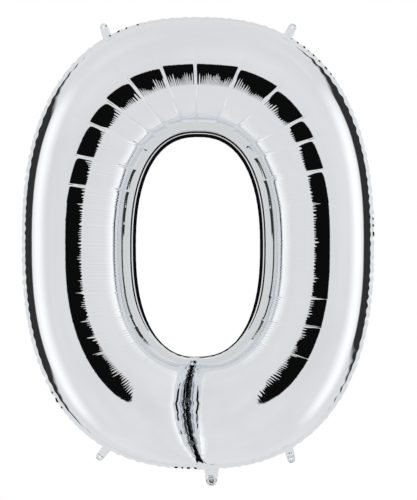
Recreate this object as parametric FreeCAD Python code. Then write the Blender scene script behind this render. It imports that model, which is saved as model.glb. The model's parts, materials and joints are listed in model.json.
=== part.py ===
"""A foil number balloon, digit 0, inflated, built from its separate film pieces.

Millimetres. X is to the right, the front faces -Y, Z is up. The origin is the centre of the
whole balloon's box, filling neck included. The seam between the two foil panels lies on Y = 0.
Film is far thinner than a solid can usefully be, so every film piece has a stand-in thickness
that is named below.
"""
import FreeCAD, Part
import math
import os

from FreeCAD import Vector

# The ring: a squarish oval outline with a squarish oval hole.
RING_WIDTH = 702.0
RING_HEIGHT = 900.0
RING_POWER = 2.45  # 2 is an ellipse, more is squarer
HOLE_WIDTH = 248.0
HOLE_HEIGHT = 438.0
HOLE_POWER = 2.4
HOLE_DROP = 8.0  # the hole's centre is this far below the ring's
SECTION_FAN = 2.3  # turns each section so that it crosses the tube squarely

# The inflated tube.
TUBE_DEPTH = 208.0  # front to back
CREST_SHIFT = 0.05  # the crest lies this share of the half width outside the middle
END_REACH = 62.0  # over this turn, seen from the centre, the tube thins towards its end
END_BLUNTNESS = 2.7  # 2 closes the end as an ellipse, more is blunter
SLIT_REACH = 40.0  # over this turn the tube bends to follow the slit
TUBE_STATIONS = 96
CROWDING = 0.9  # 0 spaces the stations evenly, towards 1 they crowd at the tube's ends
SECTION_POINTS = 17

# Film and seams.
PANEL_FILM = 1.0
SEAM_FILM = 1.0  # the two panels fused together
OUTER_SEAM = 8.0  # visible width of the outer seam
HOLE_SEAM = 4.0
END_SEAM = 8.0
SEAM_UNDERLAP = 2.0  # how far a seam reaches in under the panel's edge

# The slit at six o'clock, where the tube's two sealed ends meet. It bows to the left.
SLIT_GAP = 0.6
SLIT_AT_HOLE = -7.0
SLIT_AT_MIDDLE = -22.0
SLIT_AT_OUTSIDE = 8.0
JOIN_PAD_RADIUS = 5.0
JOIN_PAD_THICKNESS = 0.8
JOIN_PAD_HEIGHTS = {"upper_join_pad": -295.0, "lower_join_pad": -380.0}

# Hanging tabs: side, end, distance from the centreline, lean away from upright.
TABS = {
    "hang_tab_top_left": (-1, 1, 181.0, 20.0),
    "hang_tab_top_right": (1, 1, 179.0, 28.0),
    "hang_tab_bottom_left": (-1, -1, 183.0, 38.0),
    "hang_tab_bottom_right": (1, -1, 181.0, 15.0),
}
TAB_WIDTH = 16.0
TAB_LENGTH = 28.0
EYELET_RADIUS = 2.0
HINGE_CLEARANCE = 0.3

# The filling neck and its self-sealing valve.
NECK_X = 27.0
NECK_DROP = 36.0  # how far it hangs below the ring
NECK_ROOT_WIDTH = 30.0
NECK_END_RADIUS = 11.5
NECK_FOIL = 0.5
LINER_FILM = 0.3
CHANNEL_GAP = 0.3
CHANNEL_WIDTH = 18.0
PORT_RADIUS = 5.0
VALVE_LENGTH = 104.0
VALVE_ROOT_Z = -421.0

RING_Z = NECK_DROP / 2
RING_BOTTOM = RING_Z - RING_HEIGHT / 2
NECK_END_Z = RING_BOTTOM - NECK_DROP
PORT_Z = NECK_END_Z + NECK_END_RADIUS
HALF_SEAM = SEAM_FILM / 2


def outline_point(theta, grow, hole=False):
    """The point at angle theta on the ring's outline, or the hole's, moved out by grow."""
    width, height, power = (
        (HOLE_WIDTH, HOLE_HEIGHT, HOLE_POWER) if hole else (RING_WIDTH, RING_HEIGHT, RING_POWER)
    )
    across = abs(math.cos(theta) / (width / 2 + grow)) ** power
    up = abs(math.sin(theta) / (height / 2 + grow)) ** power
    radius = (across + up) ** (-1 / power)
    middle = RING_Z - HOLE_DROP if hole else RING_Z
    return Vector(radius * math.cos(theta), 0, middle + radius * math.sin(theta))


def slit_bow(share):
    """The slit's X for share -1 at the hole, 0 half way and 1 at the outside."""
    slope = (SLIT_AT_OUTSIDE - SLIT_AT_HOLE) / 2
    bend = (SLIT_AT_OUTSIDE + SLIT_AT_HOLE) / 2 - SLIT_AT_MIDDLE
    return SLIT_AT_MIDDLE + slope * share + bend * share**2


def slit_x(z):
    """The slit's X at the height z."""
    top = outline_point(-math.pi / 2, 0, hole=True).z
    return slit_bow(1 - 2 * (z - RING_BOTTOM) / (top - RING_BOTTOM))


def stations():
    """The tube's stations: the angle round from the slit in degrees, and the share of full depth."""
    places = []
    for i in range(TUBE_STATIONS + 1):
        even = 2 * math.pi * i / TUBE_STATIONS
        turn = math.degrees(even - CROWDING * math.sin(even))
        share = min(1.0, turn / END_REACH, (360.0 - turn) / END_REACH)
        places.append((turn, max(0.0, 1 - (1 - share) ** 2) ** (1 / END_BLUNTNESS)))
    return places


def section(turn, depth_share, inset):
    """Points across the front of the tube, from the hole's seam to the outer seam."""
    theta = math.radians(turn - 90.0)
    hole_theta = math.atan2(SECTION_FAN * math.sin(theta), math.cos(theta))
    outer = outline_point(theta, -OUTER_SEAM - inset)
    inner = outline_point(hole_theta, HOLE_SEAM + inset, hole=True)
    side = 1 if turn < 180 else -1
    from_slit = min(turn, 360.0 - turn) / SLIT_REACH
    fade = max(0.0, 1 - from_slit) ** 2
    end_wall = side * (SLIT_GAP / 2 + END_SEAM + inset) * fade
    points = []
    for i in range(SECTION_POINTS):
        phi = math.pi * (i / (SECTION_POINTS - 1) - 0.5)
        share = math.sin(phi) + CREST_SHIFT * math.cos(phi) ** 2
        point = inner + (outer - inner) * (share + 1) / 2
        point.x += slit_bow(share) * fade + end_wall
        point.y = -HALF_SEAM - (TUBE_DEPTH / 2 - HALF_SEAM - inset) * depth_share * math.cos(phi)
        points.append(point)
    return points


def even_curve(points):
    """A smooth curve through the points, which its parameter counts evenly."""
    curve = Part.BSplineCurve()
    curve.interpolate(Points=points, Parameters=[float(i) for i in range(len(points))])
    return curve


def skin(inset):
    """One side of a panel's film, as a face whose edge lies in the seam's front plane."""
    across = [even_curve(section(turn, depth, inset)) for turn, depth in stations()]
    rows = [curve.getPoles() for curve in across]
    along = [even_curve(list(column)) for column in zip(*rows)]
    surface = Part.BSplineSurface()
    surface.buildFromPolesMultsKnots(
        [curve.getPoles() for curve in along],
        across[0].getMultiplicities(),
        along[0].getMultiplicities(),
        across[0].getKnots(),
        along[0].getKnots(),
        False,
        False,
        across[0].Degree,
        along[0].Degree,
    )
    return surface.toShape()


def flat_face(wires):
    """A flat face inside the first wire and outside the others."""
    return Part.makeFace(wires, "Part::FaceMakerBullseye")


def foil_panel():
    """The front panel: two skins a film apart, closed by a flat foot that stands on the seams."""
    outside = skin(0.0)
    inside = skin(PANEL_FILM)
    foot = flat_face([outside.OuterWire, inside.OuterWire])
    shell = Part.Shell([outside, inside, foot])
    shell.sewShape()
    solid = Part.Solid(shell)
    solid.fix(1e-3, 1e-4, 1e-2)
    return solid


def outline_wire(grow, hole=False):
    """The closed outline of the ring or of the hole, moved out by grow."""
    count = 72
    points = [outline_point(2 * math.pi * i / count, grow, hole) for i in range(count)]
    curve = Part.BSplineCurve()
    curve.interpolate(points, PeriodicFlag=True)
    return Part.Wire(curve.toShape())


def plate(outer_wire, inner_wires=(), thickness=SEAM_FILM, middle_y=0.0):
    """A flat piece of film, half its thickness each side of middle_y."""
    face = flat_face([outer_wire, *inner_wires])
    face.translate(Vector(0, middle_y - thickness / 2, 0))
    return face.extrude(Vector(0, thickness, 0))


def strip_beside_slit(near, far):
    """A tall plate between two lines that run near and far from the slit's centre line."""
    top = outline_point(-math.pi / 2, 0, hole=True).z + 20
    low = RING_BOTTOM - 20
    heights = [low + (top - low) * i / 16 for i in range(17)]
    lines = []
    for offset in (near, far):
        curve = Part.BSplineCurve()
        curve.interpolate([Vector(slit_x(z) + offset, 0, z) for z in heights])
        lines.append(curve.toShape())
    ends = [
        Part.makeLine(lines[0].Vertexes[i].Point, lines[1].Vertexes[i].Point) for i in (0, 1)
    ]
    return plate(Part.Wire(Part.__sortEdges__([*lines, *ends])))


def end_seam(side):
    """The sealed end of the tube on one side of the slit."""
    near = side * SLIT_GAP / 2
    far = side * (SLIT_GAP / 2 + END_SEAM + SEAM_UNDERLAP)
    whole = plate(outline_wire(0), [outline_wire(0, hole=True)])
    return whole.common(strip_beside_slit(near, far)).Solids[0]


def ring_seams():
    """The outer seam, open at the filling neck's mouth, and the hole's seam."""
    reach = SLIT_GAP / 2 + END_SEAM + SEAM_UNDERLAP
    slit_zone = strip_beside_slit(-reach, reach)
    mouth_width = NECK_X + CHANNEL_WIDTH / 2 + 1 - slit_x(RING_BOTTOM)
    mouth = Part.makeBox(mouth_width, 4, 30, Vector(slit_x(RING_BOTTOM), -2, RING_BOTTOM - 10))
    outer = plate(outline_wire(0), [outline_wire(-OUTER_SEAM - SEAM_UNDERLAP)])
    hole = plate(outline_wire(HOLE_SEAM + SEAM_UNDERLAP, hole=True), [outline_wire(0, hole=True)])
    return outer.cut(slit_zone).cut(mouth), hole.cut(slit_zone)


def join_pad(z):
    """A round adhesive pad across both end seams."""
    front = -HALF_SEAM
    centre = Vector(slit_x(z), front, z)
    return Part.makeCylinder(JOIN_PAD_RADIUS, JOIN_PAD_THICKNESS, centre, Vector(0, -1, 0))


def tab_root(side, end, distance):
    """Where a tab leaves the outer seam, and the seam's slant there from level, in degrees."""
    level = abs(distance) / (RING_WIDTH / 2)
    height = RING_HEIGHT / 2 * (1 - level**RING_POWER) ** (1 / RING_POWER)
    ratio = RING_HEIGHT / RING_WIDTH
    steep = level / (height / (RING_HEIGHT / 2))
    slant = math.degrees(math.atan(ratio * steep ** (RING_POWER - 1)))
    return Vector(side * distance, 0, RING_Z + end * height), slant


def hang_tab(side, end, distance, lean):
    """A round-ended film tongue with a punched eyelet, clear of the seam so that it can fold."""
    root, slant = tab_root(side, end, distance)
    half = TAB_WIDTH / 2
    start = HALF_SEAM + 2 * HINGE_CLEARANCE + half * abs(math.sin(math.radians(lean - slant)))
    straight = TAB_LENGTH - half
    corners = [Vector(-half, 0, start), Vector(-half, 0, straight)]
    mirrored = [Vector(half, 0, straight), Vector(half, 0, start)]
    edges = [
        Part.makeLine(*corners),
        Part.Arc(corners[1], Vector(0, 0, TAB_LENGTH), mirrored[0]).toShape(),
        Part.makeLine(*mirrored),
        Part.makeLine(mirrored[1], corners[0]),
    ]
    eyelet = Part.Wire(Part.makeCircle(EYELET_RADIUS, Vector(0, 0, straight), Vector(0, 1, 0)))
    tongue = plate(Part.Wire(edges), [eyelet])
    upright_turn = lean * side if end > 0 else 180 - lean * side
    tongue.rotate(Vector(0, 0, 0), Vector(0, 1, 0), upright_turn)
    tongue.translate(root)
    return tongue


def neck_outline(root_half, end_radius, root_z):
    """A tapering tongue with a round end about the port's centre."""
    shoulders = [Vector(NECK_X + s * root_half, 0, root_z) for s in (-1, 1)]
    sides = [Vector(NECK_X + s * end_radius, 0, PORT_Z) for s in (-1, 1)]
    return Part.Wire(
        [
            Part.makeLine(shoulders[0], sides[0]),
            Part.Arc(sides[0], Vector(NECK_X, 0, PORT_Z - end_radius), sides[1]).toShape(),
            Part.makeLine(sides[1], shoulders[1]),
            Part.makeLine(shoulders[1], shoulders[0]),
        ]
    )


def port_hole():
    """The port's circle."""
    return Part.Wire(Part.makeCircle(PORT_RADIUS, Vector(NECK_X, 0, PORT_Z), Vector(0, 1, 0)))


def neck_pieces():
    """The neck's foils, which meet round their edges, and the liners in the pocket between them."""
    pocket = CHANNEL_GAP / 2 + LINER_FILM
    deep = pocket + NECK_FOIL
    root_z = RING_BOTTOM - deep - HINGE_CLEARANCE
    liner_half = CHANNEL_WIDTH / 2
    liner = neck_outline(liner_half, liner_half, root_z)
    foil = neck_outline(NECK_ROOT_WIDTH / 2, NECK_END_RADIUS, root_z)
    pocket_cut = plate(neck_outline(liner_half, liner_half, root_z + 1), (), 2 * pocket)
    foil_solid = plate(foil, (), 2 * deep).cut(pocket_cut)
    front_half = Part.makeBox(100, 10, 100, Vector(NECK_X - 50, -10, NECK_END_Z - 20))
    front = foil_solid.common(front_half).cut(plate(port_hole(), (), 4 * deep))
    back = foil_solid.cut(front_half)
    liner_y = CHANNEL_GAP / 2 + LINER_FILM / 2
    return {
        "neck_front_foil": front.Solids[0],
        "neck_back_foil": back.Solids[0],
        "neck_front_liner": plate(liner, [port_hole()], LINER_FILM, -liner_y),
        "neck_back_liner": plate(liner, (), LINER_FILM, liner_y),
    }


def valve_film(side):
    """One film of the flat valve inside the balloon; the two close on each other."""
    low = Vector(NECK_X - CHANNEL_WIDTH / 2, 0, VALVE_ROOT_Z)
    near = CHANNEL_GAP / 2 if side > 0 else -CHANNEL_GAP / 2 - LINER_FILM
    return Part.makeBox(CHANNEL_WIDTH, LINER_FILM, VALVE_LENGTH, low + Vector(0, near, 0))


def build():
    """Every piece by its node name."""
    front = foil_panel()
    outer_seam, hole_seam = ring_seams()
    pieces = {
        "front_foil_panel": front,
        "back_foil_panel": front.mirror(Vector(0, 0, 0), Vector(0, 1, 0)),
        "outer_seam": outer_seam,
        "hole_seam": hole_seam,
        "left_end_seam": end_seam(-1),
        "right_end_seam": end_seam(1),
        "valve_front_film": valve_film(-1),
        "valve_back_film": valve_film(1),
    }
    pieces.update(neck_pieces())
    for name, z in JOIN_PAD_HEIGHTS.items():
        pieces[name] = join_pad(z)
    for name, place in TABS.items():
        pieces[name] = hang_tab(*place)
    return pieces


os.makedirs("parts", exist_ok=True)
for node, shape in build().items():
    shape.exportStep(f"parts/{node}.step")
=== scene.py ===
"""The look of the foil number balloon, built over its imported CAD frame. Metres throughout.

The front faces -Y and Z is up. Every film piece is a thin mesh worked out from the ring's outline,
with the creases, puckers and curls that inflated foil has.
"""
import json
import math

import bpy
import numpy as np
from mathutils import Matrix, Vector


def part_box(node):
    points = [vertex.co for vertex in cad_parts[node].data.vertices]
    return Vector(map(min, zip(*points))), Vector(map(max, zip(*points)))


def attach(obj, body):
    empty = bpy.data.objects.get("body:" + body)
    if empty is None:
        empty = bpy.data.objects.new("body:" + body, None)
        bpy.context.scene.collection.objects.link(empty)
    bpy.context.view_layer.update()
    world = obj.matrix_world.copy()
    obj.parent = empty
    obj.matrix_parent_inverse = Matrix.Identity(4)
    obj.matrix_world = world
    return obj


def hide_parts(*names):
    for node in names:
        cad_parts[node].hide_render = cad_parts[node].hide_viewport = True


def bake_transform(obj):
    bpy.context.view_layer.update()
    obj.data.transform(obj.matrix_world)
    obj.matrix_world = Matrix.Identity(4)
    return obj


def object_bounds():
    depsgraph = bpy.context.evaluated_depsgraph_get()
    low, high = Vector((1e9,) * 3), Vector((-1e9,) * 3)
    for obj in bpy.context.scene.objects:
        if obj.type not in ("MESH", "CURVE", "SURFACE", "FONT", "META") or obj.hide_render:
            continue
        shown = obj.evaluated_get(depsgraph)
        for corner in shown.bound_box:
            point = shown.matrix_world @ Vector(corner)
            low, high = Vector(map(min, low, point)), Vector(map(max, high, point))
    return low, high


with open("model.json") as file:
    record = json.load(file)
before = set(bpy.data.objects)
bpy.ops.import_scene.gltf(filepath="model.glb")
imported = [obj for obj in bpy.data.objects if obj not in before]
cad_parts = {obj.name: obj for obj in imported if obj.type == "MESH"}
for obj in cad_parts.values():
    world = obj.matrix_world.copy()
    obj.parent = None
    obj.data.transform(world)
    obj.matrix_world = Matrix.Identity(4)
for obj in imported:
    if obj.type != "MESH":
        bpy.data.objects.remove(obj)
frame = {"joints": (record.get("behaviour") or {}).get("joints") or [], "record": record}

CAD_LOW, CAD_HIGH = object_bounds()


def middle_of(node):
    """The middle of a CAD node's box."""
    low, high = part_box(node)
    return (low + high) / 2


# ---------------------------------------------------------------- the ring's own dimensions
OUTER_SEAM = 0.008
HOLE_SEAM = 0.004
HOLE_SEAM_FLATTENS = (35, 75)  # over these turns from the slit it changes from curled to flat
FLAT_SEAM_EXTRA = 0.006  # how much wider the hole's seam shows where it lies flat
HOLE_EDGE_PROUD = 0.001  # how far its free edge stands into the hole
END_SEAM = 0.008
SEAM_UNDERLAP = 0.002  # how far a seam reaches in under the panel's edge
RING_POWER = 2.45  # 2 is an ellipse, more is squarer
HOLE_POWER = 2.4
SECTION_FAN = 2.3  # turns each section so that it crosses the tube squarely
CREST_SHIFT = 0.05  # the crest lies this share of the half width outside the middle
LOW_CREST_SHIFT = -0.04  # the same, at the lower corners
LOW_CORNER = (36, 20)  # the lower corners' turn from the slit, and half their spread
SLIT_REACH = 40.0  # over this turn the tube bends to follow the slit
SLIT_GAP = 0.0006
END_OVERLAP = 0.0008  # how far each sealed end laps past the slit's middle
END_STAGGER = 0.0006  # the left end lies this far in front of the seam's plane, the right behind
SLIT_AT_HOLE = -0.007
SLIT_AT_MIDDLE = -0.022
SLIT_AT_OUTSIDE = 0.008
END_REACH = 62.0  # over this turn the tube thins towards its end
END_SQUARENESS = 2.7  # 2 closes the tube's end as an ellipse, more as a blunter bulge

ring_low, ring_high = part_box("outer_seam")
hole_low, hole_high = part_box("hole_seam")
panel_low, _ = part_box("front_foil_panel")
RING_HALF = np.array([ring_high.x - ring_low.x, ring_high.z - ring_low.z]) / 2
RING_Z = (ring_low.z + ring_high.z) / 2
HOLE_MARGIN = HOLE_SEAM + SEAM_UNDERLAP
HOLE_HALF = np.array([hole_high.x - hole_low.x, hole_high.z - hole_low.z]) / 2 - HOLE_MARGIN
HOLE_Z = hole_high.z - HOLE_MARGIN - HOLE_HALF[1]
SLIT_TOP = HOLE_Z - HOLE_HALF[1]
SLIT_LENGTH = SLIT_TOP - ring_low.z
PAD_SHARES = [
    1 - 2 * (middle_of(node).z - ring_low.z) / SLIT_LENGTH
    for node in ("upper_join_pad", "lower_join_pad")
]
TUBE_HALF_DEPTH = -panel_low.y

# ---------------------------------------------------------------- how the foil creases
# The strong creases: the angle round from the slit, and a strength. They run from the hole
# out over the crest and stop just beyond it.
STRONG_CREASES = [
    (50, 0.5), (62, 0.6), (72, 0.55), (104, 0.4), (115, 1.0), (126, 0.9),
    (134, 1.0), (148, 1.1), (164, 1.0), (181, 1.0), (194, 1.1), (207, 1.2), (218, 1.2),
    (228, 1.1), (240, 1.1), (250, 0.9), (256, 0.3), (262, 0.3), (286, 0.3), (296, 0.35),
    (302, 0.35), (309, 0.35),
]
CREASE_DEPTH = 0.0013
CREASE_HALF_WIDTH = 0.0007  # at a crease's outer end
CREASE_SPREAD = 0.0019  # how much wider it is at the hole
CREASE_SWAY = 0.0016
PUFF_HEIGHT = 0.0016
FULL_PUFF_GAP = 0.055  # creases this far apart have a full puff between them
FINE_SPACING = 0.0054
FINE_HEIGHT = 0.00026
PUCKER_SPACING = 0.019
PUCKER_HEIGHT = 0.0006
END_CRINKLE = 0.0002  # the height of the crinkles at the tube's sealed ends
END_WALL_GAP = 0.0026  # between the tube's end wall and the slit's middle, where it bulges most
FILM = 0.0002
SEAM_FILM = FILM * 1.5
# Where the outer seam lies flat in dashes: the angle round from the slit, and a half length.
SEAM_FLATS = [(-4, 5), (95, 7), (148, 13), (199, 10), (318, 4)]
SEAM_DASH = 0.016
DASH_SHARE = 0.45  # this much of the seam's width, from the panel out, still slants in a dash
SEAM_STEP = 0.0008  # the fold along the hole's seam, beside the panels
SEAM_CURL = 0.004  # how far back the outer seam's free edge curls

COLUMNS = 1700
ROWS = 56


def smooth_step(low, high, x):
    """0 below low, 1 above high, and a smooth rise between. low may be the larger."""
    t = np.clip((x - low) / (high - low), 0, 1)
    return t * t * (3 - 2 * t)


def waves(x, spacing, seed, spread=0.35, count=7):
    """Irregular waves about one spacing apart, between about -1 and 1."""
    rng = np.random.default_rng(seed)
    total = np.zeros_like(x)
    for _ in range(count):
        length = spacing * (1 + spread * rng.uniform(-1, 1))
        total += np.sin(2 * math.pi * (x / length + rng.uniform()))
    return total / math.sqrt(count)


def hump(x, middle, half):
    """A smooth hump: 1 at the middle and about a third at half to each side."""
    return np.exp(-(((x - middle) / half) ** 2))


def from_slit(turn):
    """How far each turn is from the slit, either way round."""
    return np.minimum(turn, 360 - turn)


def slit_side(turn):
    """1 on the right of the slit and -1 on the left."""
    return np.where(turn < 180, 1, -1)


def near_slit(turn):
    """The share of the slit's bow that the tube takes at each turn: 1 at the slit, 0 far off."""
    return np.clip(1 - from_slit(turn) / SLIT_REACH, 0, 1) ** 2


def running_length(steps, turn):
    """The distance run from the slit at each column, over the whole grid of turns."""
    return np.concatenate([[0], np.cumsum(steps)])[None, :] * np.ones_like(turn)


# ---------------------------------------------------------------- the ring's outlines
def outline(theta, grow, hole=False):
    """X and Z of the ring's outline, or the hole's, at the angles theta."""
    half, power = (HOLE_HALF, HOLE_POWER) if hole else (RING_HALF, RING_POWER)
    across = np.abs(np.cos(theta) / (half[0] + grow)) ** power
    up = np.abs(np.sin(theta) / (half[1] + grow)) ** power
    radius = (across + up) ** (-1 / power)
    return radius * np.cos(theta), (HOLE_Z if hole else RING_Z) + radius * np.sin(theta)


def hole_angle(theta):
    """The hole's angle for the tube's section that starts outside at theta."""
    return np.arctan2(SECTION_FAN * np.sin(theta), np.cos(theta))


def slit_bow(share):
    """The slit's X for share -1 at the hole to 1 at the outside."""
    slope = (SLIT_AT_OUTSIDE - SLIT_AT_HOLE) / 2
    bend = (SLIT_AT_OUTSIDE + SLIT_AT_HOLE) / 2 - SLIT_AT_MIDDLE
    return SLIT_AT_MIDDLE + slope * share + bend * share**2


def hole_seam_flat(turn):
    """1 where the hole's seam lies flat, at the top and sides, and 0 where it curls back, below."""
    return smooth_step(*HOLE_SEAM_FLATTENS, from_slit(turn))


def hole_seam_width(turn):
    """How wide the hole's seam shows at each turn."""
    return HOLE_SEAM + FLAT_SEAM_EXTRA * hole_seam_flat(turn)


def across_tube(turn, share, wall_gap):
    """X and Z at each turn (degrees round from the slit) and share across the tube."""
    theta = np.radians(turn - 90)
    outer_x, outer_z = outline(theta, -OUTER_SEAM)
    inner_x, inner_z = outline(hole_angle(theta), hole_seam_width(turn), hole=True)
    x = inner_x + (outer_x - inner_x) * (share + 1) / 2
    z = inner_z + (outer_z - inner_z) * (share + 1) / 2
    return x + (slit_bow(share) + slit_side(turn) * wall_gap) * near_slit(turn), z


def closing(turn):
    """The share of full depth that the tube has at each turn."""
    near = np.clip(from_slit(turn) / END_REACH, 0, 1)
    return np.clip(1 - (1 - near) ** 2, 0, 1) ** (1 / END_SQUARENESS)


def column_turns(count):
    """Turns right round the tube, crowded where it closes towards the slit."""
    ends = max(8, count // 10)
    psi = np.linspace(0, math.pi / 2, ends, endpoint=False)
    start = SLIT_REACH * (1 - np.cos(psi))
    middle = np.linspace(SLIT_REACH, 360 - SLIT_REACH, count - 2 * ends)
    return np.concatenate([start, middle, (360 - start)[::-1]])


# ---------------------------------------------------------------- mesh helpers
SHARP_FROM = math.radians(50)


def grid_faces(rows, columns, flip=False):
    """Quads over a grid of points stored row by row."""
    r, c = np.meshgrid(np.arange(rows - 1), np.arange(columns - 1), indexing="ij")
    a = (r * columns + c).ravel()
    quads = np.stack([a, a + 1, a + columns + 1, a + columns], 1)
    return quads[:, ::-1] if flip else quads


def mesh_object(name, points, faces):
    """A smooth mesh object from points and faces, sharp only at the films' cut edges."""
    mesh = bpy.data.meshes.new(name)
    mesh.from_pydata(points.tolist(), [], faces.tolist())
    mesh.update()
    mesh.shade_smooth()
    mesh.set_sharp_from_angle(angle=SHARP_FROM)
    made = bpy.data.objects.new(name, mesh)
    bpy.context.scene.collection.objects.link(made)
    return made


def grid_normals(points):
    """Unit normals of a grid of points, shape (rows, columns, 3)."""
    along = np.gradient(points, axis=1)
    across = np.gradient(points, axis=0)
    normal = np.cross(along, across)
    return normal / np.maximum(np.linalg.norm(normal, axis=2, keepdims=True), 1e-12)


def film_object(name, points, thickness):
    """A closed thin film over a grid of middle points, shape (rows, columns, 3)."""
    rows, columns = points.shape[:2]
    normal = grid_normals(points) * thickness / 2
    both = np.concatenate([(points + normal).reshape(-1, 3), (points - normal).reshape(-1, 3)])
    far = rows * columns
    edge = np.concatenate(
        [
            np.arange(columns),
            np.arange(1, rows) * columns + columns - 1,
            (rows - 1) * columns + np.arange(columns - 2, -1, -1),
            np.arange(rows - 2, 0, -1) * columns,
        ]
    )
    after = np.roll(edge, -1)
    rim = np.stack([after, edge, edge + far, after + far], 1)
    faces = [grid_faces(rows, columns), grid_faces(rows, columns, flip=True) + far, rim]
    return mesh_object(name, both, np.concatenate(faces))


# ---------------------------------------------------------------- the two panels
def crease_field(turn, share, length):
    """Height of the foil's creases and puffs off the smooth tube."""
    strong = np.array([angle for angle, _ in STRONG_CREASES], float)
    places = np.interp(strong, turn[0], length[0])
    # The foil puffs up between neighbouring creases, most near the hole.
    bounds = np.concatenate([[length[0, 0]], places, [length[0, -1]]])
    force = np.interp(length[0], bounds, [0, *(strength for _, strength in STRONG_CREASES), 0])
    index = np.clip(np.searchsorted(bounds, length[0]) - 1, 0, len(bounds) - 2)
    gap = bounds[index + 1] - bounds[index]
    inside = (length[0] - bounds[index]) / gap
    puff = (4 * inside * (1 - inside)) ** 0.75 * np.clip(gap / FULL_PUFF_GAP, 0, 1)
    puff *= np.clip(1.25 * force - 0.2, 0, 1)
    height = PUFF_HEIGHT * puff[None, :] * smooth_step(0.9, -0.3, share)
    for number, ((_, strength), place) in enumerate(zip(STRONG_CREASES, places)):
        reach = 0.12 + 0.2 * min(strength, 1)
        wide = CREASE_HALF_WIDTH + CREASE_SPREAD * smooth_step(reach, -0.9, share)
        sway = CREASE_SWAY * np.sin(5 * share + number) * smooth_step(0.2, -0.8, share)
        off = (length - place - sway) / wide
        fade = smooth_step(reach, reach - 0.3, share) * (1 - 0.45 * smooth_step(-0.3, -1, share))
        height -= CREASE_DEPTH * strength * fade * np.exp(-np.abs(off) ** 1.4)
    # Fine wrinkles square to the tube grow from the crest towards the hole.
    near = from_slit(turn)
    lively = 1.0 + 0.25 * waves(length, 0.06, 5)
    lively = lively * smooth_step(22, 38, near) * smooth_step(-0.92, -0.6, share)
    top = hump(turn, 180, 26)
    sides = smooth_step(130, 95, near)
    onset = -0.06 + 0.14 * top + 0.10 * sides + 0.05 * waves(length, 0.035, 6)
    fine = np.sin(2 * math.pi * (length / FINE_SPACING + 0.35 * waves(length, 0.04, 7)))
    height += FINE_HEIGHT * lively * fine * smooth_step(onset, onset - 0.3, share)
    height *= smooth_step(-1.0, -0.82, share)
    # Puckers run in from the outer seam.
    pucker = waves(length, PUCKER_SPACING, 8, 0.3)
    height += PUCKER_HEIGHT * pucker * smooth_step(0.86, 1.0, share)
    return height


def end_crinkles(turn, share):
    """Crinkles that run out of the sealed ends of the tube."""
    near = from_slit(turn)
    side = np.where(turn < 180, 0.0, 1.7)  # so that the two ends crinkle differently
    lines = waves(share + side + 0.004 * near, 0.16, 9, 0.5)
    return END_CRINKLE * lines * smooth_step(3.0, 0.2, near) * (1 - share**2)


def end_wall_gap(share, depth):
    """How far the tube's bulging end wall stays from the slit's middle, over the sealed end."""
    foot = SLIT_GAP / 2 + END_SEAM
    pads = sum(hump(share, at, 0.035) for at in PAD_SHARES)
    crest = END_WALL_GAP + 0.0009 * waves(share, 0.10, 12) + 0.0010 * pads
    return crest + (foot - crest) * smooth_step(0.014, 0.0, depth)


def panel_points(side):
    """The grid of one panel: side -1 is the front and 1 the back."""
    turn, phi = np.meshgrid(
        column_turns(COLUMNS), np.linspace(-math.pi / 2, math.pi / 2, ROWS)
    )
    low = hump(from_slit(turn), *LOW_CORNER)
    crest = CREST_SHIFT + (LOW_CREST_SHIFT - CREST_SHIFT) * low
    share = np.sin(phi) + crest * np.cos(phi) ** 2
    depth = TUBE_HALF_DEPTH * closing(turn) * np.cos(phi)
    x, z = across_tube(turn, share, end_wall_gap(share, depth))
    points = np.stack([x, side * (depth + FILM), z], 2)
    middle = ROWS // 2
    steps = np.linalg.norm(np.diff(points[middle], axis=0), axis=1)
    length = running_length(steps, turn)
    normal = grid_normals(points)
    normal *= np.sign(np.sum(normal[middle, :, 1]) * side)
    seam = smooth_step(0, 0.05, np.cos(phi) * closing(turn))
    lift = crease_field(turn, share, length) + end_crinkles(turn, share)
    return points + normal * (lift * seam)[:, :, None]


def make_panel(name, side):
    """One foil panel."""
    points = panel_points(side)
    faces = grid_faces(ROWS, COLUMNS, flip=side < 0)
    return mesh_object(name, points.reshape(-1, 3), faces)


# ---------------------------------------------------------------- seams
def seam_dashes(turn, length, seed):
    """1 in the dashes where the outer seam lies flat, 0 elsewhere."""
    flats = sum(
        np.exp(-(((turn - at) / half) ** 4)) + np.exp(-(((turn - 360 - at) / half) ** 4))
        for at, half in SEAM_FLATS
    )
    return flats * smooth_step(-0.5, 0.0, waves(length, SEAM_DASH, seed, 0.3, 4))


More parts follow.
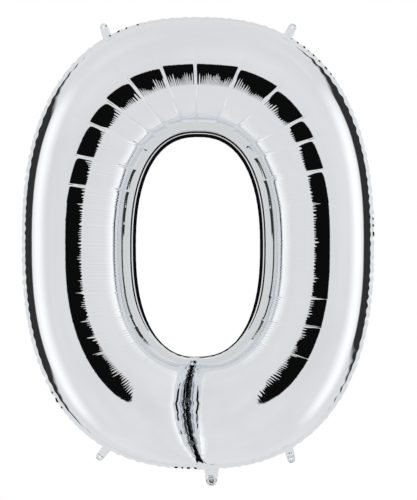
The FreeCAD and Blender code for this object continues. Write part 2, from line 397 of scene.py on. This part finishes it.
def seam_ribbon(name, hole, rows, seed, wobble, lean, scallop):
    """The fused seam round the ring or the hole, gently puckered out of its plane."""
    turn, way = np.meshgrid(column_turns(COLUMNS), np.linspace(0, 1, rows))
    theta = np.radians(turn - 90)
    if hole:
        theta = hole_angle(theta)
    x0, z0 = outline(theta, -HOLE_EDGE_PROUD if hole else 0, hole)
    inward = hole_seam_width(turn) if hole else -OUTER_SEAM
    x1, z1 = outline(theta, inward, hole)
    slit = (slit_bow(-1.0 if hole else 1.0) + slit_side(turn) * SLIT_GAP / 2) * near_slit(turn)
    x = x0 + (x1 - x0) * way + slit
    z = z0 + (z1 - z0) * way
    length = running_length(np.hypot(np.diff(x[0]), np.diff(z[0])), turn)
    free = 1 - way  # 1 at the seam's free edge, 0 at the panels
    if hole:
        flats = hole_seam_flat(turn)
        rise = free * (2 - free) * (1 - flats)
        step = SEAM_STEP * smooth_step(0.58, 0.82, way) * flats
    else:
        flats = seam_dashes(turn, length, seed + 2)
        rise = free - flats * np.maximum(free - DASH_SHARE, 0)
        step = 0
    y = lean * np.abs(inward) * rise
    y = y + wobble * waves(length, PUCKER_SPACING, seed, 0.3, 4) * free * (1 - flats) - step
    pull = scallop * (waves(length, PUCKER_SPACING, seed + 1, 0.25, 4) - 0.8) * free
    out = -1 if hole else 1
    middle = HOLE_Z if hole else RING_Z
    reach = np.hypot(x, z - middle)
    x = x + out * pull * x / reach
    z = z + out * pull * (z - middle) / reach
    return film_object(name, np.stack([x, y, z], 2), SEAM_FILM)


def end_seam(name, side):
    """The sealed end of the tube on one side of the slit, crumpled where the two ends press."""
    share, way = np.meshgrid(np.linspace(-1, 1, 260), np.linspace(0, 1, 9))
    z = SLIT_TOP - SLIT_LENGTH * (share + 1) / 2
    x = slit_bow(share) + side * ((END_SEAM + SEAM_UNDERLAP) * way - END_OVERLAP)
    rough = END_CRINKLE * waves(share, 0.14, 20 + side, 0.6)
    # Both ends pinch forward at the top and bottom of the slit.
    pinch = 0.5 * END_SEAM * (1 - way) * smooth_step(0.84, 0.97, np.abs(share))
    y = END_STAGGER * side + rough * (1 - way) * (1 - share**4) - pinch
    return film_object(name, np.stack([x, y, z], 2), SEAM_FILM)


# ---------------------------------------------------------------- tabs, neck and valve
def tongue(name, outer, hole_centre, hole_radius, lay, thickness, rings):
    """A film tongue between its flat outline and a punched hole; lay() gives each point's place."""
    angle = np.arctan2(outer[:, 1] - hole_centre[1], outer[:, 0] - hole_centre[0])
    inner = np.stack([np.cos(angle), np.sin(angle)], 1) * hole_radius + hole_centre
    way = np.linspace(0, 1, rings)[:, None, None]
    flat = inner[None] * (1 - way) + outer[None] * way
    flat = np.concatenate([flat, flat[:, :1]], 1)
    middle = lay(flat[:, :, 0], flat[:, :, 1])
    return film_object(name, middle, thickness)


def tongue_outline(root_half, end_half, root, straight):
    """Points round a tongue that runs up from root and ends in a half circle."""
    arc = np.linspace(0, math.pi, 22)
    end = np.stack([end_half * np.cos(arc), straight + end_half * np.sin(arc)], 1)
    rise = np.linspace(0, 1, 14)[:-1, None]
    right = np.array([root_half, root]) * (1 - rise) + np.array([end_half, straight]) * rise
    left = np.array([-end_half, straight]) * (1 - rise) + np.array([-root_half, root]) * rise
    base = np.stack([np.linspace(-root_half, root_half, 10)[:-1], np.full(9, root)], 1)
    return np.concatenate([right, end[:-1], left, base])


def mount(name):
    """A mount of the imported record."""
    return next(m for m in frame["record"]["mounts"] if m["name"] == name)


def joint(name):
    """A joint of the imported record."""
    return next(j for j in frame["joints"] if j["name"] == name)


TAB_WIDTH = 0.016
TAB_STRAIGHT = 0.020  # from the tab's root to its eyelet
TAB_ROOT = -0.004  # how far the tab starts inside the outer seam
TAB_LEANS = (0.34, 0.42, 0.38, 0.30)  # how steeply each tab starts to lean back


def make_tab(place, seed):
    """A hanging tab, curled, creased and grown out of the outer seam."""
    eyelet = mount(f"{place}_eyelet")
    centre = np.array(eyelet["pos_m"])
    pivot = joint(f"{place}_tab_fold")
    axis = np.array(pivot["axis"])
    up = np.cross(axis, [0, 1, 0])
    root = centre - up * TAB_STRAIGHT

    def lay(x, y):
        """The place of each point of the flat tab, x across it and y up it."""
        lift = SEAM_CURL + TAB_LEANS[seed] * y * (1 - 12 * np.maximum(y, 0)) + 0.06 * x
        crumple = 0.0006 * waves(x + 0.4 * y, 0.006, seed + 40)
        crumple = crumple + 0.0004 * waves(y, 0.007, seed + 50)
        out = lift + crumple * smooth_step(-0.002, 0.01, y)
        on_plane = root - x[..., None] * axis + y[..., None] * up
        return on_plane + np.array([0, 1, 0]) * out[..., None]

    flat = tongue_outline(TAB_WIDTH / 2 + 0.001, TAB_WIDTH / 2, TAB_ROOT, TAB_STRAIGHT)
    radius = eyelet["dims"]["r_mm"] / 1000
    piece = tongue(
        f"{place}_tab_film", flat, np.array([0, TAB_STRAIGHT]), radius, lay, SEAM_FILM, 9
    )
    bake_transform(piece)
    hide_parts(f"hang_tab_{place}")
    return piece


NECK_ROOT = 0.005  # how far the neck's foils start inside the ring
LINER_SHORTER = 0.004  # the liners start this much lower
LINER_SHARE = 0.8  # the liners' width, as a share of the foils'
PINHOLE = 0.0004  # a back film has no port, only this pinhole where its grid meets
NECK_LENGTH = 0.036  # from the ring to the port's centre
NECK_LEAN = 0.27  # how steeply the neck leans back
NECK_CURL = 2.5  # how strongly its sides curl forward
NECK_BEAD = 0.0036  # the height of the puffed rim round the port
NECK_BEAD_RADIUS = 0.0088
NECK_BEAD_HALF = 0.0014


def make_neck():
    """The filling neck: two foils that bulge apart a little, with liners between them."""
    port = mount("fill_port")
    port_radius = port["dims"]["r_mm"] / 1000
    centre = np.array(port["pos_m"])
    low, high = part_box("neck_front_foil")
    root_half = (high.x - low.x) / 2
    end_half = centre[2] - low.z
    root = -(high.z - centre[2]) - NECK_ROOT
    made = []
    plans = [
        ("neck_front_film", -1, 1.0, root, port_radius, "neck_front_foil"),
        ("neck_back_film", 1, 1.0, root, PINHOLE, "neck_back_foil"),
        ("neck_front_liner_film", -0.4, LINER_SHARE, root + LINER_SHORTER, port_radius,
         "neck_front_liner"),
        ("neck_back_liner_film", 0.4, LINER_SHARE, root + LINER_SHORTER, PINHOLE,
         "neck_back_liner"),
    ]
    for number, (name, side, width, top, hole, node) in enumerate(plans):

        def lay(x, y, side=side, number=number):
            """The place of each point of the flat film, x across it and y down it."""
            edge = smooth_step(0.0, 0.006, end_half - np.hypot(x, np.maximum(y, 0)))
            bulge = 0.0006 + 0.0022 * edge
            bead = NECK_BEAD * hump(np.hypot(x, y), NECK_BEAD_RADIUS, NECK_BEAD_HALF)
            crumple = 0.00028 * waves(x, 0.009, 60 + number)
            crumple = crumple + 0.00014 * waves(y, 0.012, 64 + number)
            back = SEAM_CURL + NECK_LEAN * (y + NECK_LENGTH) - NECK_CURL * x**2
            return np.stack(
                [centre[0] - x, side * (bulge + bead) + crumple + back, centre[2] - y], -1
            )

        flat = tongue_outline(root_half * width, end_half * width, top, 0.0)
        piece = tongue(name, flat, np.zeros(2), hole, lay, FILM, 20)
        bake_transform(piece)
        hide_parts(node)
        made.append(piece)
    return made


def make_valve_film(name, node, body, side):
    """One of the valve's clear films inside the balloon."""
    low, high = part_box(node)
    x, z = np.meshgrid(np.linspace(low.x, high.x, 16), np.linspace(low.z, high.z, 70))
    bulge = 0.0008 * (0.6 + 0.4 * waves(z, 0.03, 70)) * smooth_step(low.z, low.z + 0.02, z)
    y = (low.y + high.y) / 2 + side * bulge
    piece = film_object(name, np.stack([x, y, z], 2), FILM)
    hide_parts(node)
    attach(piece, body)
    return piece


GLUE = 0.0004


def make_join_pad(name, node, seed):
    """An adhesive pad, squeezed out unevenly between the two sealed ends."""
    low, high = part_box(node)
    centre = middle_of(node)
    radius = (high.x - low.x) / 2
    way, angle = np.meshgrid(
        np.linspace(0.02, 1, 8), np.linspace(0, 2 * math.pi, 41), indexing="ij"
    )
    rim = 1 + 0.12 * np.sin(3 * angle + seed) + 0.05 * np.sin(7 * angle)
    x = centre.x + radius * way * rim * np.cos(angle)
    z = centre.z + radius * way * rim * np.sin(angle)
    y = high.y - (high.y - low.y) * (1 - 0.7 * way**4)
    piece = film_object(name, np.stack([x, y, z], 2), GLUE)
    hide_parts(node)
    return piece


# ---------------------------------------------------------------- materials
def shader(name):
    """A new material, its Principled node and its tree."""
    material = bpy.data.materials.new(name)
    material.use_nodes = True
    tree = material.node_tree
    return material, tree.nodes["Principled BSDF"], tree


def noise(tree, scale, detail=3.0):
    """A noise texture on the object's own coordinates."""
    place = tree.nodes.new("ShaderNodeTexCoord")
    texture = tree.nodes.new("ShaderNodeTexNoise")
    texture.inputs["Scale"].default_value = scale
    texture.inputs["Detail"].default_value = detail
    tree.links.new(place.outputs["Object"], texture.inputs["Vector"])
    return texture.outputs["Fac"]


def remap(tree, value, low, high):
    """value from 0..1 to low..high."""
    node = tree.nodes.new("ShaderNodeMapRange")
    node.inputs["To Min"].default_value = low
    node.inputs["To Max"].default_value = high
    tree.links.new(value, node.inputs["Value"])
    return node.outputs["Result"]


def tint(tree, value, low, high):
    """A colour between low and high."""
    ramp = tree.nodes.new("ShaderNodeValToRGB")
    ramp.color_ramp.elements[0].color = (*low, 1)
    ramp.color_ramp.elements[1].color = (*high, 1)
    tree.links.new(value, ramp.inputs["Fac"])
    return ramp.outputs["Color"]


def bump(tree, principled, height, strength, distance):
    """Surface relief from a height."""
    node = tree.nodes.new("ShaderNodeBump")
    node.inputs["Strength"].default_value = strength
    node.inputs["Distance"].default_value = distance
    tree.links.new(height, node.inputs["Height"])
    tree.links.new(node.outputs["Normal"], principled.inputs["Normal"])


def silver_foil(name, low_rough, high_rough, relief):
    """Metallised film: a mirror with slight haze and faint ripples."""
    material, principled, tree = shader(name)
    principled.inputs["Metallic"].default_value = 1.0
    colour = tint(tree, noise(tree, 9.0), (0.875, 0.90, 0.93), (0.92, 0.94, 0.96))
    tree.links.new(colour, principled.inputs["Base Color"])
    rough = remap(tree, noise(tree, 60.0, 5.0), low_rough, high_rough)
    tree.links.new(rough, principled.inputs["Roughness"])
    bump(tree, principled, noise(tree, 35.0, 4.0), relief, 0.002)
    return material


def clear_film():
    """The valve's clear polyethylene film."""
    material, principled, tree = shader("clear_valve_film")
    principled.inputs["Transmission Weight"].default_value = 0.85
    principled.inputs["IOR"].default_value = 1.51
    colour = tint(tree, noise(tree, 40.0), (0.86, 0.88, 0.90), (0.95, 0.96, 0.97))
    tree.links.new(colour, principled.inputs["Base Color"])
    rough = remap(tree, noise(tree, 120.0), 0.12, 0.3)
    tree.links.new(rough, principled.inputs["Roughness"])
    bump(tree, principled, noise(tree, 160.0), 0.2, 0.001)
    return material


def adhesive():
    """Squeezed-out double-sided adhesive."""
    material, principled, tree = shader("adhesive")
    colour = tint(tree, noise(tree, 300.0), (0.20, 0.20, 0.21), (0.36, 0.36, 0.37))
    tree.links.new(colour, principled.inputs["Base Color"])
    rough = remap(tree, noise(tree, 500.0), 0.25, 0.5)
    tree.links.new(rough, principled.inputs["Roughness"])
    bump(tree, principled, noise(tree, 700.0), 0.4, 0.0005)
    return material


def floor_paint():
    """The plain pale floor."""
    material, principled, tree = shader("pale_floor")
    colour = tint(tree, noise(tree, 3.0), (0.80, 0.80, 0.80), (0.84, 0.84, 0.84))
    tree.links.new(colour, principled.inputs["Base Color"])
    principled.inputs["Roughness"].default_value = 0.7
    return material


# ---------------------------------------------------------------- studio
STUDIO_LEVEL = 0.78
WALL_UNEVENNESS = 0.07
# The angles are in degrees round from the camera, and up from the level.
DARK_HALF_WIDTH = 17.0
DARK_HALF_HEIGHT = 20.0
DARK_DROP = 6.0  # the dark area's middle is this far below the level
DARK_POWER = 2.6  # 2 is an ellipse, more is squarer
STRIP_SWING = (76.0, 106.0)
STRIP_RISE = (-50.0, 33.0)
STRIP_GLOW = 0.3  # how much brighter than the walls the side strips are
FLAG_SWING = (113.0, 200.0)
FLAG_RISE = (-22.5, 29.0)
FLAG_TILT = 0.03  # the flags' edges rise by this much per degree from left to right
FLOOR_DROP = 0.36  # how far below the balloon the floor is
FLOOR_RADIUS = 1.6
FLOOR_CORNERS = 96
BACKDROP_BEHIND = 0.7  # how far behind the balloon's middle the wide paper is
CARD_BEHIND = 0.2
CARD_GLOW = 0.71
CARD_SPLIT = 0.03  # the height where the wider low card meets the high one


def mask(tree, value, limits, soft):
    """1 where value lies between the two limits, with soft edges."""
    results = []
    for edge, rising in zip(limits, (True, False)):
        node = tree.nodes.new("ShaderNodeMapRange")
        node.interpolation_type = "SMOOTHSTEP"
        node.inputs["From Min"].default_value = edge - soft
        node.inputs["From Max"].default_value = edge + soft
        node.inputs["To Min"].default_value = 0.0 if rising else 1.0
        node.inputs["To Max"].default_value = 1.0 if rising else 0.0
        tree.links.new(value, node.inputs["Value"])
        results.append(node.outputs["Result"])
    return math_node(tree, "MULTIPLY", *results)


def math_node(tree, operation, first, second=None):
    """A Math node; each input is a socket or a number."""
    node = tree.nodes.new("ShaderNodeMath")
    node.operation = operation
    for slot_number, value in enumerate((first, second)):
        if value is None:
            continue
        if isinstance(value, (int, float)):
            node.inputs[slot_number].default_value = value
        else:
            tree.links.new(value, node.inputs[slot_number])
    return node.outputs[0]


def dark_round_camera(tree, swing, rise):
    """1 inside the rounded dark area round the camera, 0 outside it."""
    off_level = math_node(tree, "ABSOLUTE", math_node(tree, "ADD", rise, DARK_DROP))
    parts = []
    for angle, half in ((swing, DARK_HALF_WIDTH), (off_level, DARK_HALF_HEIGHT)):
        share = math_node(tree, "DIVIDE", angle, half)
        parts.append(math_node(tree, "POWER", share, DARK_POWER))
    return mask(tree, math_node(tree, "ADD", *parts), (-1.0, 1.0), 0.06)


def studio_world():
    """A white studio: a dark area round the camera, dark flags behind and bright side strips."""
    world = bpy.data.worlds.new("studio")
    bpy.context.scene.world = world
    world.use_nodes = True
    tree = world.node_tree
    background = tree.nodes["Background"]
    place = tree.nodes.new("ShaderNodeTexCoord")
    split = tree.nodes.new("ShaderNodeSeparateXYZ")
    tree.links.new(place.outputs["Generated"], split.inputs[0])
    x, y, z = split.outputs
    front = math_node(tree, "MULTIPLY", y, -1.0)
    turned = math_node(tree, "DEGREES", math_node(tree, "ARCTAN2", x, front))
    swing = math_node(tree, "ABSOLUTE", turned)
    rise = math_node(tree, "DEGREES", math_node(tree, "ARCSINE", z))
    strip = math_node(
        tree, "MULTIPLY", mask(tree, swing, STRIP_SWING, 14.0), mask(tree, rise, STRIP_RISE, 10.0)
    )
    walls = tree.nodes.new("ShaderNodeTexNoise")
    walls.inputs["Scale"].default_value = 1.6
    walls.inputs["Detail"].default_value = 1.0
    tree.links.new(place.outputs["Generated"], walls.inputs["Vector"])
    level = remap(
        tree, walls.outputs["Fac"], STUDIO_LEVEL - WALL_UNEVENNESS, STUDIO_LEVEL + WALL_UNEVENNESS
    )
    bright = math_node(tree, "ADD", math_node(tree, "MULTIPLY", strip, STRIP_GLOW), level)
    tilted = math_node(tree, "SUBTRACT", rise, math_node(tree, "MULTIPLY", turned, FLAG_TILT))
    flag = math_node(
        tree, "MULTIPLY", mask(tree, swing, FLAG_SWING, 2.5), mask(tree, tilted, FLAG_RISE, 3.0)
    )
    seen = bright
    for dark, strength in ((flag, 0.96), (dark_round_camera(tree, swing, rise), 0.995)):
        left = math_node(tree, "SUBTRACT", 1.0, math_node(tree, "MULTIPLY", dark, strength))
        seen = math_node(tree, "MULTIPLY", seen, left)
    # The reflections see this studio, and the camera itself sees plain white behind the balloon.
    path = tree.nodes.new("ShaderNodeLightPath")
    mix = tree.nodes.new("ShaderNodeMix")
    mix.data_type = "FLOAT"
    tree.links.new(path.outputs["Is Camera Ray"], mix.inputs["Factor"])
    tree.links.new(seen, mix.inputs["A"])
    mix.inputs["B"].default_value = 1.0
    tree.links.new(mix.outputs["Result"], background.inputs["Strength"])
    background.inputs["Color"].default_value = (1, 1, 1, 1)


def make_floor():
    """A pale round floor well below the hanging balloon."""
    angle = np.linspace(0, 2 * math.pi, FLOOR_CORNERS, endpoint=False)
    height = np.full(FLOOR_CORNERS, CAD_LOW.z - FLOOR_DROP)
    rim = np.stack([FLOOR_RADIUS * np.cos(angle), FLOOR_RADIUS * np.sin(angle), height], 1)
    floor = mesh_object("floor", rim, np.arange(FLOOR_CORNERS)[None])
    floor.data.materials.append(floor_paint())
    floor.visible_glossy = False


def make_paper(name, distance, half, low, high, level, pale):
    """A glowing white paper behind the balloon, seen only in its reflections."""
    sheet = ((-half, low), (half, low), (half, high), (-half, high))
    corners = np.array([(x, distance, z) for x, z in sheet])
    paper = mesh_object(name, corners, np.array([[0, 1, 2, 3]]))
    material, principled, tree = shader(f"{name}_glow")
    glow = tint(tree, noise(tree, 2.0), tuple(0.96 * part for part in pale), pale)
    tree.links.new(glow, principled.inputs["Emission Color"])
    principled.inputs["Emission Strength"].default_value = level
    principled.inputs["Base Color"].default_value = (0, 0, 0, 1)
    principled.inputs["Specular IOR Level"].default_value = 0.0
    paper.data.materials.append(material)
    paper.visible_camera = False
    paper.visible_shadow = False
    paper.visible_diffuse = False


def make_papers():
    """The wide paper behind, and two cards just behind the digit's hole."""
    wide = RING_HALF[0] + 0.175
    under = CAD_LOW.z - 0.3
    make_paper("backdrop", BACKDROP_BEHIND, wide, under, 1.5, STUDIO_LEVEL, (1, 1, 1))
    low, high = RING_Z - RING_HALF[1], RING_Z + RING_HALF[1]
    pale = (0.985, 1.0, 0.99)
    make_paper("hole_card_low", CARD_BEHIND, 0.30, low, CARD_SPLIT, CARD_GLOW, pale)
    make_paper("hole_card_high", CARD_BEHIND, 0.20, CARD_SPLIT, high, CARD_GLOW, pale)


def make_floor_light():
    """A broad soft light over the floor that the foil doesn't mirror."""
    data = bpy.data.lights.new("floor_light", "AREA")
    data.shape = "SQUARE"
    data.size = 3.0
    data.energy = 80.0
    lamp = bpy.data.objects.new("floor_light", data)
    lamp.location = (0, 0, 2.2)
    lamp.visible_glossy = False
    lamp.visible_camera = False
    bpy.context.scene.collection.objects.link(lamp)


def make_camera():
    """The camera squarely in front, a little to the right of the balloon's middle."""
    camera = bpy.data.objects.new("camera", bpy.data.cameras.new("camera"))
    bpy.context.scene.collection.objects.link(camera)
    camera.data.lens = 100
    camera.data.sensor_width = 36
    camera.location = (0.021, -2.76, 0.004)
    camera.rotation_euler = (math.radians(90), 0, 0)
    bpy.context.scene.camera = camera


# ---------------------------------------------------------------- assembly
def finish_piece(piece, material, body=None):
    """Gives a piece its material, and its body if it rides on one."""
    piece.data.materials.append(material)
    if body:
        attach(piece, body)


def build():
    """Every piece of the balloon."""
    panel_foil = silver_foil("silver_foil", 0.015, 0.05, 0.05)
    seam_foil = silver_foil("seam_foil", 0.07, 0.15, 0.15)
    rim_foil = silver_foil("rim_foil", 0.02, 0.06, 0.05)
    film = clear_film()
    for name, node, side in (
        ("front_foil", "front_foil_panel", -1),
        ("back_foil", "back_foil_panel", 1),
    ):
        piece = make_panel(name, side)
        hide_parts(node)
        finish_piece(piece, panel_foil, "balloon")
    for name, node, hole, rows, seed, wobble, lean, scallop in (
        ("outer_seam_film", "outer_seam", False, 7, 30, 0.0004, 0.5, 0.0009),
        ("hole_seam_film", "hole_seam", True, 15, 34, 0.0001, 0.2, 0.0001),
    ):
        piece = seam_ribbon(name, hole, rows, seed, wobble, lean, scallop)
        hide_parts(node)
        finish_piece(piece, rim_foil if hole else seam_foil, "balloon")
    for name, node, side in (
        ("left_end_seam_film", "left_end_seam", -1),
        ("right_end_seam_film", "right_end_seam", 1),
    ):
        piece = end_seam(name, side)
        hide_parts(node)
        finish_piece(piece, rim_foil, "balloon")
    glue = adhesive()
    for seed, node in enumerate(("upper_join_pad", "lower_join_pad")):
        finish_piece(make_join_pad(f"{node}_drop", node, seed), glue, "balloon")
    for seed, place in enumerate(("top_left", "top_right", "bottom_left", "bottom_right")):
        finish_piece(make_tab(place, seed), seam_foil)
    for piece in make_neck():
        liner = "liner" in piece.name
        finish_piece(piece, film if liner else seam_foil)
    for name, node, body, side in (
        ("valve_front_sheet", "valve_front_film", "valve_front", -1),
        ("valve_back_sheet", "valve_back_film", "valve_back", 1),
    ):
        finish_piece(make_valve_film(name, node, body, side), film)


make_camera()
studio_world()
make_floor()
make_floor_light()
make_papers()
build()
bpy.context.scene.view_settings.view_transform = "Standard"
